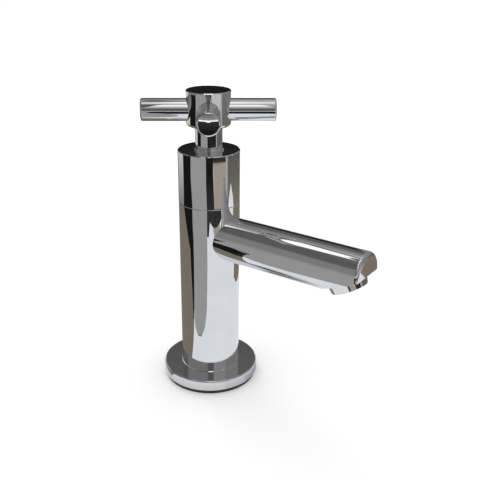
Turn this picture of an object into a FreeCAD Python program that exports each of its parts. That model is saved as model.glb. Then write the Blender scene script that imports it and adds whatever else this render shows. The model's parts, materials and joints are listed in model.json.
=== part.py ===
"""Cross handle tap: deck-mounted pillar tap with a quarter-turn ceramic headwork.

Millimetres. The origin is on the tap's axis where the gasket rests on the deck, +Z is up and the
spout points along +X. The handle is drawn closed and opens by turning about +Z.
"""

import FreeCAD, Part
import math
import os

import Sketcher

Vector = FreeCAD.Vector
Rotation = FreeCAD.Rotation
Placement = FreeCAD.Placement

doc = FreeCAD.newDocument("cross_handle_tap")

# ---------------------------------------------------------------------------------------------
# Driving dimensions
# ---------------------------------------------------------------------------------------------

DIMENSIONS = [
    # clearances
    ("seat_gap", 0.05, "between a piece and the bore that it is pressed or screwed into"),
    ("slide_gap", 0.1, "between pieces that are dropped into each other"),
    ("running_gap", 0.08, "between a turning piece and what guides it"),
    ("disc_gap", 0.05, "between the two ceramic discs"),
    # deck gasket and base flange
    ("gasket_radius", 25.0, "outside of the base gasket"),
    ("gasket_thickness", 2.0, "height of the base gasket"),
    ("flange_radius", 26.0, "outside of the base flange"),
    ("flange_thickness", 6.0, "height of the base flange"),
    ("flange_rounding", 0.9, "rounding of the flange's upper edge"),
    ("flange_break", 0.4, "chamfer of the flange's lower edge"),
    # body
    ("body_radius", 16.0, "outside of the column"),
    ("body_height", 95.0, "flange to seam"),
    ("foot_flare", 0.35, "flare of the column's foot on the flange"),
    ("edge_break", 0.25, "chamfer on each side of the seam"),
    ("spigot_radius", 13.4, "body's spigot in the flange"),
    ("spigot_height", 2.0, "depth of that spigot"),
    ("collar_radius", 13.6, "threaded collar inside the cover sleeve"),
    ("collar_height", 6.0, "height of that collar"),
    ("mouth_depth", 12.0, "threaded mouth for the headwork"),
    ("chamber_radius", 9.6, "chamber round the headwork"),
    ("seat_drop", 31.0, "valve seat below the seam"),
    ("seat_radius", 6.0, "bore through the valve seat"),
    ("seat_thickness", 11.5, "height of the valve seat's wall"),
    ("waterway_radius", 10.0, "bore below the valve seat"),
    ("lip_radius", 7.5, "bore of the lip that the tail's seal rests on"),
    ("lip_height", 3.0, "height of that lip"),
    ("socket_depth", 17.5, "socket for the tail, above the spigot's face"),
    # tail and its fixings
    ("thread_radius", 10.48, "half the major diameter of the pipe thread, size 1/2"),
    ("thread_pitch", 1.814, "pitch of that thread"),
    ("thread_depth", 1.16, "depth of that thread"),
    ("thread_crest", 0.18, "flat left between two grooves"),
    ("thread_start", 2.0, "first groove below the deck plane"),
    ("thread_turns", 17, "number of grooves"),
    ("tail_length", 48.0, "tail below the deck plane"),
    ("tail_bore_radius", 6.5, "bore of the tail"),
    ("tail_break", 0.8, "chamfer at the tail's ends"),
    ("tail_seal_thickness", 2.0, "thickness of the tail's O-ring"),
    ("fixing_clearance", 0.22, "between the tail and the pieces that slide along it"),
    ("deck_thickness", 18.0, "deck that the tap is drawn clamped on"),
    ("rubber_washer_radius", 19.0, "outside of the rubber deck washer"),
    ("rubber_washer_thickness", 3.0, "height of the rubber deck washer"),
    ("metal_washer_radius", 18.0, "outside of the metal deck washer"),
    ("metal_washer_thickness", 1.5, "height of the metal deck washer"),
    ("nut_flats", 30.0, "across the back nut's flats"),
    ("nut_height", 6.5, "height of the back nut's hexagon"),
    ("nut_flange_radius", 16.4, "outside of the back nut's flange"),
    ("nut_flange_height", 2.0, "height of the back nut's flange"),
    # spout
    ("spout_radius", 11.75, "outside of the spout"),
    ("spout_drop", 18.55, "spout's axis below the seam"),
    ("spout_reach", 92.5, "spout's end face from the tap's axis"),
    ("spout_bore_radius", 9.6, "bore of the spout's tube"),
    ("spout_bore_setback", 26.5, "end of that bore from the end face"),
    ("spout_rounding", 2.0, "rounding of the end face's arc"),
    ("end_face_height", 11.55, "end face from its top to the cut's edge"),
    ("facet_angle", 25.2, "slope of the cut under the spout, in degrees"),
    ("port_radius", 8.0, "spout's spigot in the body"),
    ("port_start", 10.9, "inner end of that spigot from the tap's axis"),
    ("port_bore_radius", 6.5, "bore of that spigot"),
    ("port_bore_end", 21.0, "end of that bore from the tap's axis"),
    ("nozzle_bore_radius", 6.0, "bore from the tube to the outlet"),
    ("nozzle_bore_setback", 12.5, "end of that bore from the end face"),
    # outlet, measured square to the cut under the spout
    ("outlet_setback", 11.6, "outlet's centre from the cut's edge, along the cut"),
    ("outlet_radius", 9.9, "aerator housing where it meets the spout"),
    ("outlet_lip_radius", 9.2, "aerator housing at its lip"),
    ("outlet_length", 4.0, "aerator housing outside the spout"),
    ("outlet_break", 0.3, "chamfer of the aerator housing's lip"),
    ("outlet_thread_radius", 8.6, "aerator housing inside the spout"),
    ("outlet_thread_length", 5.0, "length of that part"),
    ("outlet_ledge_radius", 6.8, "opening in the aerator housing's lip"),
    ("outlet_ledge_height", 1.0, "height of the ledge that holds the insert"),
    ("insert_radius", 7.5, "aerator insert"),
    ("insert_height", 4.5, "height of the aerator insert"),
    ("insert_hole_radius", 0.72, "holes in the aerator insert"),
    ("mesh_thickness", 0.6, "aerator mesh"),
    ("mesh_hole_radius", 0.85, "holes in the aerator mesh"),
    ("aerator_seal_thickness", 1.5, "washer above the aerator housing"),
    ("aerator_seal_radius", 6.3, "opening in that washer"),
    ("inner_ring_radius", 2.1, "inner ring of holes in mesh and insert"),
    ("middle_ring_radius", 4.1, "middle ring of holes in mesh and insert"),
    ("outer_ring_radius", 6.0, "outer ring of holes in mesh and insert"),
    # cover sleeve and neck
    ("sleeve_height", 27.7, "seam to the sleeve's top"),
    ("roof_thickness", 2.5, "sleeve's roof"),
    ("rim_break", 0.4, "chamfer of the rims that catch the light"),
    ("guide_radius", 7.8, "guide ring in the sleeve's roof"),
    ("guide_rise", 1.0, "guide ring above the sleeve's top"),
    ("guide_flange_radius", 9.6, "guide ring's flange under the roof"),
    ("guide_flange_height", 1.4, "height of that flange"),
    ("neck_radius", 7.0, "outside of the neck"),
    ("neck_bore_radius", 5.6, "bore of the neck"),
    ("neck_length", 12.1, "sleeve's top to hub"),
    ("neck_insertion", 1.8, "neck below the sleeve's top"),
    ("neck_socket_depth", 3.0, "neck inside the hub"),
    # headwork
    ("headwork_gasket_thickness", 1.0, "gasket under the headwork's hexagon"),
    ("headwork_flats", 22.0, "across the headwork's flats"),
    ("headwork_hex_height", 6.5, "height of that hexagon"),
    ("headwork_corner_break", 0.16, "turned off that hexagon's corners"),
    ("nose_radius", 8.0, "headwork above its hexagon"),
    ("nose_height", 8.0, "height of that part"),
    ("barrel_radius", 8.9, "headwork inside the chamber"),
    ("disc_chamber_radius", 7.8, "bore for the ceramic discs"),
    ("seal_height", 2.5, "height of the seat seal"),
    ("seal_stand", 1.0, "headwork's lower face above the seat"),
    ("seal_bore_radius", 5.8, "bore of the seat seal"),
    ("disc_thickness", 3.0, "lower ceramic disc"),
    ("upper_disc_thickness", 3.5, "upper ceramic disc"),
    ("disc_hole_inner", 1.6, "inner radius of the discs' openings"),
    ("disc_hole_outer", 5.4, "outer radius of the discs' openings"),
    ("disc_hole_angle", 80.0, "sweep of each of the discs' two openings, in degrees"),
    ("key_width", 3.0, "lower disc's keys"),
    ("key_radius", 8.5, "outside of those keys"),
    ("slot_depth", 1.5, "slot in the upper disc for the spindle's blade"),
    ("window_width", 8.0, "side windows of the headwork"),
    ("window_height", 5.5, "height of those windows"),
    # spindle
    ("stem_radius", 5.0, "spindle in the headwork"),
    ("blade_width", 3.0, "spindle's blade"),
    ("blade_radius", 6.0, "half the blade's length"),
    ("blade_rise", 3.9, "blade between the upper disc and the spindle's collar"),
    ("spindle_collar_radius", 6.9, "spindle's collar"),
    ("spindle_collar_height", 2.7, "height of that collar"),
    ("friction_washer_thickness", 0.6, "washer above the collar"),
    ("ring_groove_radius", 3.9, "bottom of the O-ring grooves"),
    ("ring_groove_width", 1.5, "width of the O-ring grooves"),
    ("ring_thickness", 1.12, "thickness of the spindle's O-rings"),
    ("ring_level", 10.0, "lower O-ring above the headwork's roof"),
    ("ring_spacing", 5.0, "between the O-rings"),
    ("clip_thickness", 1.0, "circlip on the spindle"),
    ("clip_radius", 6.6, "outside of the circlip"),
    ("clip_groove_radius", 4.3, "bottom of the circlip's groove"),
    ("clip_opening", 5.0, "gap in the circlip"),
    ("stem_above_clip", 0.9, "spindle's full diameter above the circlip"),
    ("shank_radius", 4.6, "spindle inside the neck"),
    ("spline_radius", 4.0, "spindle's splined end"),
    ("spline_height", 8.3, "length of the splined end"),
    ("spline_teeth", 20, "number of spline teeth"),
    ("spline_depth", 0.45, "depth of the spline's grooves"),
    # handle
    ("handle_angle", -52.7, "first arm from the spout, in degrees"),
    ("arm_count", 4, "arms of the cross"),
    ("hub_radius", 11.4, "outside of the hub"),
    ("hub_height", 17.9, "height of the hub"),
    ("hub_rounding", 2.0, "rounding of the hub's lower edge"),
    ("arm_radius", 5.7, "outside of an arm"),
    ("arm_reach", 34.0, "middle of an arm's end from the tap's axis"),
    ("arm_dome", 45.0, "radius that an arm's end is domed to"),
    ("arm_facing", 1.2, "radius of the flat in the middle of an arm's end"),
    ("arm_level", 8.0, "arms' axis above the hub's bottom"),
    ("arm_seat", 9.5, "arm's seat in the hub from the tap's axis"),
    ("arm_rounding", 0.9, "rounding of an arm's end"),
    ("stud_radius", 2.5, "studs that hold the arms"),
    ("stud_start", 5.8, "stud's inner end from the tap's axis"),
    ("stud_length", 11.0, "length of a stud"),
    ("bush_radius", 5.2, "spline bush in the hub"),
    ("bush_height", 9.3, "height of the spline bush"),
    ("web_thickness", 2.0, "hub's web under the handle screw"),
    ("screw_radius", 1.95, "handle screw"),
    ("screw_length", 14.0, "handle screw below its head"),
    ("screw_head_radius", 3.7, "handle screw's head"),
    ("screw_head_height", 1.7, "height of that head"),
    ("screw_slot_width", 0.9, "arms of the cross recess in that head"),
    ("screw_slot_length", 4.4, "length of the cross recess"),
    ("screw_slot_depth", 1.1, "depth of the cross recess"),
    ("pocket_radius", 8.2, "pocket round the handle screw's head"),
    ("cap_radius", 10.5, "cap in the hub's top"),
    ("cap_thickness", 1.6, "height of the cap"),
]

dim = doc.addObject("Spreadsheet::Sheet", "dim")
for row, (alias, value, meaning) in enumerate(DIMENSIONS, 1):
    dim.set(f"A{row}", meaning)
    dim.set(f"B{row}", str(value))
    dim.setAlias(f"B{row}", alias)
doc.recompute()


def value_of(expression):
    """The present value of an expression on the sheet."""
    return float(dim.evalExpression(str(expression)))


# ---------------------------------------------------------------------------------------------
# Levels above the deck plane, as expressions on the sheet
# ---------------------------------------------------------------------------------------------

FLANGE_TOP = "(dim.gasket_thickness + dim.flange_thickness)"
SPIGOT_BOTTOM = f"({FLANGE_TOP} - dim.spigot_height)"
SOCKET_TOP = f"({SPIGOT_BOTTOM} + dim.socket_depth)"
TAIL_TOP = f"({SOCKET_TOP} - dim.tail_seal_thickness)"
SEAM = f"({FLANGE_TOP} + dim.body_height)"
SEAT = f"({SEAM} - dim.seat_drop)"
SPOUT_AXIS = f"({SEAM} - dim.spout_drop)"
COLLAR_TOP = f"({SEAM} + dim.collar_height)"
MOUTH_BOTTOM = f"({COLLAR_TOP} - dim.mouth_depth)"
SLEEVE_TOP = f"({SEAM} + dim.sleeve_height)"
ROOF_BOTTOM = f"({SLEEVE_TOP} - dim.roof_thickness)"
HUB_BOTTOM = f"({SLEEVE_TOP} + dim.neck_length)"
HUB_TOP = f"({HUB_BOTTOM} + dim.hub_height)"
ARM_AXIS = f"({HUB_BOTTOM} + dim.arm_level)"
NECK_TOP = f"({HUB_BOTTOM} + dim.neck_socket_depth)"
BUSH_TOP = f"({NECK_TOP} + dim.bush_height)"
WEB_TOP = f"({BUSH_TOP} + dim.seat_gap + dim.web_thickness)"
CAP_BOTTOM = f"({HUB_TOP} - dim.cap_thickness)"

DECK_BOTTOM = "(-dim.deck_thickness)"
RUBBER_BOTTOM = f"({DECK_BOTTOM} - dim.rubber_washer_thickness)"
METAL_BOTTOM = f"({RUBBER_BOTTOM} - dim.metal_washer_thickness)"
NUT_FLANGE_BOTTOM = f"({METAL_BOTTOM} - dim.nut_flange_height)"
NUT_BOTTOM = f"({NUT_FLANGE_BOTTOM} - dim.nut_height)"

CASING_BOTTOM = f"({SEAT} + dim.seal_stand)"
SEAL_TOP = f"({SEAT} + dim.seal_height)"
LOWER_DISC_TOP = f"({SEAL_TOP} + dim.disc_thickness)"
UPPER_DISC_BOTTOM = f"({LOWER_DISC_TOP} + dim.disc_gap)"
UPPER_DISC_TOP = f"({UPPER_DISC_BOTTOM} + dim.upper_disc_thickness)"
BLADE_BOTTOM = f"({UPPER_DISC_TOP} - dim.slot_depth + dim.seat_gap)"
COLLAR_BOTTOM = f"({UPPER_DISC_TOP} + dim.blade_rise)"
FRICTION_BOTTOM = f"({COLLAR_BOTTOM} + dim.spindle_collar_height)"
FRICTION_TOP = f"({FRICTION_BOTTOM} + dim.friction_washer_thickness)"
CASING_ROOF = f"({FRICTION_TOP} + dim.running_gap)"
HEX_BOTTOM = f"({COLLAR_TOP} + dim.headwork_gasket_thickness)"
HEX_TOP = f"({HEX_BOTTOM} + dim.headwork_hex_height)"
NOSE_TOP = f"({HEX_TOP} + dim.nose_height)"
CLIP_BOTTOM = f"({NOSE_TOP} + dim.running_gap)"
CLIP_TOP = f"({CLIP_BOTTOM} + dim.clip_thickness)"
STEM_TOP = f"({CLIP_TOP} + dim.stem_above_clip)"
SPINDLE_TOP = f"({NECK_TOP} + dim.spline_height)"
RING_LEVELS = [
    f"({CASING_ROOF} + dim.ring_level)",
    f"({CASING_ROOF} + dim.ring_level + dim.ring_spacing)",
]

# the cut's edge on the spout's end face, above the spout's axis
CUT_EDGE = "(dim.spout_radius - dim.end_face_height)"
# centre of the outlet on the cut under the spout
OUTLET_X = "(dim.spout_reach - dim.outlet_setback * cos(dim.facet_angle))"
OUTLET_Z = f"({SPOUT_AXIS} + {CUT_EDGE} - dim.outlet_setback * sin(dim.facet_angle))"

TAIL_CLEAR_RADIUS = "(dim.thread_radius + dim.fixing_clearance)"
THREAD_BORE_RADIUS = "(dim.thread_radius + dim.seat_gap)"
STEM_BORE_RADIUS = "(dim.stem_radius + dim.running_gap)"


# ---------------------------------------------------------------------------------------------
# Helpers
# ---------------------------------------------------------------------------------------------

sub_parts = []


def keep(item):
    """Lists an object as one of the tap's pieces; its name becomes its label."""
    item.Label = item.Name
    sub_parts.append(item)
    return item


def new_body(name):
    return doc.addObject("PartDesign::Body", name)


def origin_item(body, role):
    return next(item for item in body.Origin.OriginFeatures if item.Role == role)


def attach(body, item, role="XY_Plane"):
    item.AttachmentSupport = [(origin_item(body, role), "")]
    item.MapMode = "FlatFace"


def offset(item, x="0", y="0", z="0"):
    """Ties an attached item's offset from its plane to expressions."""
    for letter, expression in (("x", x), ("y", y), ("z", z)):
        if expression != "0":
            item.setExpression(f"AttachmentOffset.Base.{letter}", expression)


def new_sketch(body, name, role):
    sketch = body.newObject("Sketcher::SketchObject", name)
    attach(body, sketch, role)
    return sketch


def pin_point(sketch, line, across, up):
    """Ties the first point of a line to two expressions."""
    for kind, expression in (("DistanceX", across), ("DistanceY", up)):
        number = sketch.addConstraint(Sketcher.Constraint(kind, line, 1, value_of(expression)))
        sketch.setExpression(f"Constraints[{number}]", expression)


def arc_between(start, end, radius):
    """The short arc of a radius that turns left from start to end."""
    chord = end - start
    rise = radius - math.sqrt(radius ** 2 - (chord.Length / 2) ** 2)
    outward = Vector(chord.y, -chord.x, 0).normalize()
    return Part.Arc(start, (start + end) / 2 + outward * rise, end)


def polygon(body, name, points, role="XZ_Plane", level="0", domes=None):
    """A closed polygon whose corners are pairs of expressions, at a level above its plane.

    domes gives the radius of each side that is an arc, by the number of the side.
    """
    sketch = new_sketch(body, name, role)
    offset(sketch, z=level)
    corners = [Vector(value_of(across), value_of(up), 0) for across, up in points]
    count = len(corners)
    domes = domes or {}
    for i in range(count):
        start, end = corners[i], corners[(i + 1) % count]
        if i in domes:
            sketch.addGeometry(arc_between(start, end, value_of(domes[i])), False)
        else:
            sketch.addGeometry(Part.LineSegment(start, end), False)
    for i in range(count):
        sketch.addConstraint(Sketcher.Constraint("Coincident", i, 2, (i + 1) % count, 1))
    for i, (across, up) in enumerate(points):
        pin_point(sketch, i, across, up)
    for i, radius in domes.items():
        number = sketch.addConstraint(Sketcher.Constraint("Radius", i, value_of(radius)))
        sketch.setExpression(f"Constraints[{number}]", radius)
    return sketch


def circle(body, name, radius, across="0"):
    """A circle in the XY plane whose radius and place along X are expressions."""
    sketch = new_sketch(body, name, "XY_Plane")
    centre = Vector(value_of(across), 0, 0)
    sketch.addGeometry(Part.Circle(centre, Vector(0, 0, 1), value_of(radius)), False)
    number = sketch.addConstraint(Sketcher.Constraint("Radius", 0, value_of(radius)))
    sketch.setExpression(f"Constraints[{number}]", radius)
    number = sketch.addConstraint(Sketcher.Constraint("DistanceX", 0, 3, value_of(across)))
    sketch.setExpression(f"Constraints[{number}]", across)
    sketch.addConstraint(Sketcher.Constraint("PointOnObject", 0, 3, -1))
    return sketch


def feature(body, kind, name, profile=None):
    item = body.newObject(f"PartDesign::{kind}", name)
    if profile is not None:
        item.Profile = profile
    body.Tip = item
    return item


def revolve(body, name, points, axis="V_Axis", kind="Revolution", domes=None):
    """Turns a profile of (radius, height) corners about the sketch's axis."""
    sketch = polygon(body, f"{name}_profile", points, domes=domes)
    item = feature(body, kind, name, sketch)
    item.ReferenceAxis = (sketch, [axis])
    item.Angle = 360
    return item


def turned(name, points):
    """A piece turned about Z from one profile."""
    body = new_body(name)
    revolve(body, f"{name}_turned", points)
    return keep(body)


def ring(name, inner, outer, bottom, top):
    """A plain ring about Z."""
    return turned(name, [(inner, bottom), (outer, bottom), (outer, top), (inner, top)])


def pocket_through(body, name, sketch, length):
    """Cuts a profile by half of the length to each side of its plane."""
    item = feature(body, "Pocket", name, sketch)
    item.SideType = "Symmetric"
    item.setExpression("Length", length)
    return item


def pocket_up(body, name, sketch, length):
    """Cuts a profile by a length towards +Z."""
    item = feature(body, "Pocket", name, sketch)
    item.Reversed = True
    item.setExpression("Length", length)
    return item


def repeat_round(body, name, original, count):
    """Repeats a cut at equal angles about Z."""
    pattern = feature(body, "PolarPattern", name)
    pattern.Originals = [original]
    pattern.Axis = (origin_item(body, "Z_Axis"), [""])
    pattern.Angle = 360
    pattern.setExpression("Occurrences", count)
    return pattern


def place(item, x="0", y="0", z="0"):
    """Ties an object's position to expressions."""
    for letter, expression in (("x", x), ("y", y), ("z", z)):
        if expression != "0":
            item.setExpression(f"Placement.Base.{letter}", expression)


def turn(item, axis, angle):
    """Ties an object's rotation about an axis to an expression."""
    item.Placement = Placement(item.Placement.Base, Rotation(axis, value_of(angle)))
    item.setExpression("Placement.Rotation.Angle", angle)


def cylinder_cut(body, name, radius, length, x="0", z="0", axis=None, angle="0"):
    """Cuts a cylinder that starts at (x, 0, z) and runs along Z, or along a turned Z."""
    item = feature(body, "SubtractiveCylinder", name)
    attach(body, item)
    if axis is not None:
        item.AttachmentOffset = Placement(Vector(), Rotation(axis, value_of(angle)))
        item.setExpression("AttachmentOffset.Rotation.Angle", angle)
    item.setExpression("Radius", radius)
    item.setExpression("Height", length)
    offset(item, x=x, z=z)
    return item


def box(body, kind, name, length, width, bottom, top, start=None):
    """Adds or cuts a box between two levels, centred on the axis unless it has a start."""
    item = feature(body, kind, name)
    attach(body, item)
    item.setExpression("Length", length)
    item.setExpression("Width", width)
    item.setExpression("Height", f"{top} - {bottom}")
    offset(item, x=start or f"-({length}) / 2", y=f"-({width}) / 2", z=bottom)
    return item


SAME_LENGTH = 1e-4  # two lengths that differ by less than this are equal


def circular_edges(shape, radius, level, axis="z"):
    """Names of the circular edges of a radius whose centre lies at a level of an axis."""
    names = []
    for number, edge in enumerate(shape.Edges, 1):
        curve = edge.Curve
        if not isinstance(curve, Part.Circle):
            continue
        height = getattr(curve.Center, axis)
        if abs(curve.Radius - radius) < SAME_LENGTH and abs(height - level) < SAME_LENGTH:
            names.append(f"Edge{number}")
    return names


def domed_edge(reach, dome, facing, radius):
    """Where the rim of a domed end lies along its axis; facing is the radius of the flat in its middle."""
    return f"({reach} - sqrt({dome}^2 - {facing}^2) + sqrt({dome}^2 - {radius}^2))"


def round_edge(body, name, radius, edge_radius, level, axis="z"):
    """Rounds the circular edge of a given radius and level."""
    base = body.Tip
    doc.recompute()
    edges = circular_edges(base.Shape, value_of(edge_radius), value_of(level), axis)
    item = feature(body, "Fillet", name)
    item.Base = (base, edges)
    item.setExpression("Radius", radius)
    return item


def hexagon_piece(name, flats, bottom, top, beyond, points):
    """A turned piece with six flats between two levels; beyond is a radius outside the flats."""
    body = new_body(name)
    revolve(body, f"{name}_turned", points)
    sketch = polygon(body, f"{name}_flat_profile", [
        (f"{flats} / 2", f"-{beyond}"),
        (f"{beyond} * 2", f"-{beyond}"),
        (f"{beyond} * 2", beyond),
        (f"{flats} / 2", beyond),
    ], role="XY_Plane", level=bottom)
    flat = pocket_up(body, f"{name}_flat", sketch, f"{top} - {bottom}")
    repeat_round(body, f"{name}_flats", flat, "6")
    return keep(body)


def group(name, items):
    """Several equal solids kept as one piece."""
    compound = doc.addObject("Part::Compound", name)
    compound.Links = items
    return keep(compound)


# ---------------------------------------------------------------------------------------------
# Base: gasket, flange, tail and fixings below the deck
# ---------------------------------------------------------------------------------------------


def make_base():
    ring("base_gasket", TAIL_CLEAR_RADIUS, "dim.gasket_radius", "0", "dim.gasket_thickness")

    recess = "(dim.spigot_radius + dim.slide_gap)"
    recess_bottom = f"({SPIGOT_BOTTOM} - dim.slide_gap)"
    flange = turned("base_flange", [
        (TAIL_CLEAR_RADIUS, "dim.gasket_thickness"),
        ("dim.flange_radius - dim.flange_break", "dim.gasket_thickness"),
        ("dim.flange_radius", "dim.gasket_thickness + dim.flange_break"),
        ("dim.flange_radius", FLANGE_TOP),
        (recess, FLANGE_TOP),
        (recess, recess_bottom),
        (TAIL_CLEAR_RADIUS, recess_bottom),
    ])
    round_edge(flange, "flange_edge", "dim.flange_rounding", "dim.flange_radius", FLANGE_TOP)


def make_tail():
    tail = new_body("tail")
    bottom = "(-dim.tail_length)"
    revolve(tail, "tail_turned", [
        ("dim.tail_bore_radius", bottom),
        ("dim.thread_radius - dim.tail_break", bottom),
        ("dim.thread_radius", f"{bottom} + dim.tail_break"),
        ("dim.thread_radius", f"{TAIL_TOP} - dim.tail_break"),
        ("dim.thread_radius - dim.tail_break", TAIL_TOP),
        ("dim.tail_bore_radius", TAIL_TOP),
    ])
    # one groove, as deep as the thread, repeated at the thread's pitch
    half_width = "(dim.thread_pitch - dim.thread_crest) / 2"
    outside = "dim.thread_radius + dim.seat_gap"
    groove = revolve(tail, "tail_groove", [
        ("dim.thread_radius - dim.thread_depth", "-dim.thread_start"),
        (outside, f"-dim.thread_start - {half_width}"),
        (outside, f"-dim.thread_start + {half_width}"),
    ], kind="Groove")
    pattern = feature(tail, "LinearPattern", "tail_thread")
    pattern.Originals = [groove]
    pattern.Direction = (groove.Profile[0], ["V_Axis"])
    pattern.Reversed = True
    pattern.setExpression("Length", "dim.thread_pitch * (dim.thread_turns - 1)")
    pattern.setExpression("Occurrences", "dim.thread_turns")
    keep(tail)

    seal = doc.addObject("Part::Torus", "tail_o_ring")
    seal.setExpression("Radius1", f"{THREAD_BORE_RADIUS} - dim.seat_gap - dim.tail_seal_thickness / 2")
    seal.setExpression("Radius2", "dim.tail_seal_thickness / 2")
    place(seal, z=f"{TAIL_TOP} + dim.tail_seal_thickness / 2")
    keep(seal)


def make_fixings():
    ring("deck_washer_rubber", TAIL_CLEAR_RADIUS, "dim.rubber_washer_radius",
         RUBBER_BOTTOM, DECK_BOTTOM)
    ring("deck_washer_metal", TAIL_CLEAR_RADIUS, "dim.metal_washer_radius",
         METAL_BOTTOM, RUBBER_BOTTOM)
    hexagon_piece(
        "back_nut", "dim.nut_flats", NUT_BOTTOM, NUT_FLANGE_BOTTOM, "dim.nut_flange_radius",
        [("dim.thread_radius + dim.slide_gap", NUT_BOTTOM),
         ("dim.nut_flange_radius", NUT_BOTTOM),
         ("dim.nut_flange_radius", METAL_BOTTOM),
         ("dim.thread_radius + dim.slide_gap", METAL_BOTTOM)])


# ---------------------------------------------------------------------------------------------
# Body and cover sleeve
# ---------------------------------------------------------------------------------------------


def make_body():
    body = new_body("body")
    seat_bottom = f"({SEAT} - dim.seat_thickness)"
    lip_top = f"({SOCKET_TOP} + dim.lip_height)"
    revolve(body, "body_turned", [
        (THREAD_BORE_RADIUS, SPIGOT_BOTTOM),
        ("dim.spigot_radius", SPIGOT_BOTTOM),
        ("dim.spigot_radius", FLANGE_TOP),
        ("dim.body_radius + dim.foot_flare", FLANGE_TOP),
        ("dim.body_radius", f"{FLANGE_TOP} + dim.foot_flare"),
        ("dim.body_radius", f"{SEAM} - dim.edge_break"),
        ("dim.body_radius - dim.edge_break", SEAM),
        ("dim.collar_radius", SEAM),
        ("dim.collar_radius", COLLAR_TOP),
        (THREAD_BORE_RADIUS, COLLAR_TOP),
        (THREAD_BORE_RADIUS, MOUTH_BOTTOM),
        ("dim.chamber_radius", MOUTH_BOTTOM),
        ("dim.chamber_radius", SEAT),
        ("dim.seat_radius", SEAT),
        ("dim.seat_radius", seat_bottom),
        ("dim.waterway_radius", seat_bottom),
        ("dim.waterway_radius", lip_top),
        ("dim.lip_radius", lip_top),
        ("dim.lip_radius", SOCKET_TOP),
        (THREAD_BORE_RADIUS, SOCKET_TOP),
    ])
    cylinder_cut(body, "body_spout_port", "dim.port_radius + dim.seat_gap",
                 "dim.body_radius * 2 - dim.seat_radius", x="dim.seat_radius", z=SPOUT_AXIS,
                 axis=Vector(0, 1, 0), angle="90")
    keep(body)


def make_sleeve():
    inside = "(dim.collar_radius + dim.seat_gap)"
    hole = "(dim.guide_radius + dim.seat_gap)"
    turned("cover_sleeve", [
        (inside, SEAM),
        ("dim.body_radius - dim.edge_break", SEAM),
        ("dim.body_radius", f"{SEAM} + dim.edge_break"),
        ("dim.body_radius", f"{SLEEVE_TOP} - dim.rim_break"),
        ("dim.body_radius - dim.rim_break", SLEEVE_TOP),
        (hole, SLEEVE_TOP),
        (hole, ROOF_BOTTOM),
        (inside, ROOF_BOTTOM),
    ])
    bore = "(dim.neck_radius + dim.running_gap)"
    guide_top = f"({SLEEVE_TOP} + dim.guide_rise)"
    flange_bottom = f"({ROOF_BOTTOM} - dim.guide_flange_height)"
    turned("neck_guide_ring", [
        (bore, flange_bottom),
        ("dim.guide_flange_radius", flange_bottom),
        ("dim.guide_flange_radius", ROOF_BOTTOM),
        ("dim.guide_radius", ROOF_BOTTOM),
        ("dim.guide_radius", f"{guide_top} - dim.edge_break"),
        ("dim.guide_radius - dim.edge_break", guide_top),
        (bore, guide_top),
    ])


# ---------------------------------------------------------------------------------------------
# Spout and outlet
# ---------------------------------------------------------------------------------------------


def make_spout():
    """The spout lies along X in its own frame and is then lifted to its level."""
    spout = new_body("spout")
    bore_end = "(dim.spout_reach - dim.spout_bore_setback)"
    nozzle_end = "(dim.spout_reach - dim.nozzle_bore_setback)"
    revolve(spout, "spout_tube", [
        ("dim.seat_radius", "dim.port_bore_radius"),
        ("dim.port_bore_end", "dim.port_bore_radius"),
        ("dim.port_bore_end", "dim.spout_bore_radius"),
        (bore_end, "dim.spout_bore_radius"),
        (bore_end, "dim.nozzle_bore_radius"),
        (nozzle_end, "dim.nozzle_bore_radius"),
        (nozzle_end, "0"),
        ("dim.spout_reach", "0"),
        ("dim.spout_reach", "dim.spout_radius"),
        ("dim.seat_radius", "dim.spout_radius"),
    ], axis="H_Axis")
    round_edge(spout, "spout_end", "dim.spout_rounding", "dim.spout_radius", "dim.spout_reach", "x")

    # the saddle that fits the column; through is longer than the tube is wide
    through = "(dim.spout_radius * 3)"
    saddle = circle(spout, "spout_saddle_circle", "dim.body_radius")
    pocket_through(spout, "spout_saddle", saddle, through)

    # the cut under the end, from the end face's edge down past the bottom of the tube
    beyond_x = "(dim.spout_reach + dim.spout_rounding)"
    beyond_z = f"({CUT_EDGE} + dim.spout_rounding * tan(dim.facet_angle))"
    foot_x = f"(dim.spout_reach - {through} * cos(dim.facet_angle))"
    foot_z = f"({CUT_EDGE} - {through} * sin(dim.facet_angle))"
    facet = polygon(spout, "spout_facet_profile", [
        (beyond_x, beyond_z),
        (foot_x, foot_z),
        (beyond_x, foot_z),
    ])
    pocket_through(spout, "spout_facet", facet, through)

    # the outlet's bore, square to that cut
    depth = "(dim.outlet_thread_length + dim.aerator_seal_thickness)"
    cylinder_cut(spout, "spout_outlet_bore", "dim.outlet_thread_radius + dim.seat_gap",
                 f"{depth} * 2",
                 x=f"{OUTLET_X} + {depth} * sin(dim.facet_angle)",
                 z=f"{OUTLET_Z} - {SPOUT_AXIS} - {depth} * cos(dim.facet_angle)",
                 axis=Vector(0, -1, 0), angle="dim.facet_angle")

    # the spigot that enters the body
    spigot_end = "(dim.body_radius + dim.seat_radius / 2)"
    revolve(spout, "spout_spigot", [
        ("dim.port_start", "dim.port_bore_radius"),
        (spigot_end, "dim.port_bore_radius"),
        (spigot_end, "dim.port_radius"),
        ("dim.port_start", "dim.port_radius"),
    ], axis="H_Axis")
    place(spout, z=SPOUT_AXIS)
    keep(spout)


def set_on_outlet(item):
    """Moves a piece drawn about Z to the outlet, with its +Z pointing into the spout."""
    turn(item, Vector(0, -1, 0), "dim.facet_angle")
    place(item, x=OUTLET_X, z=OUTLET_Z)


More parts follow.
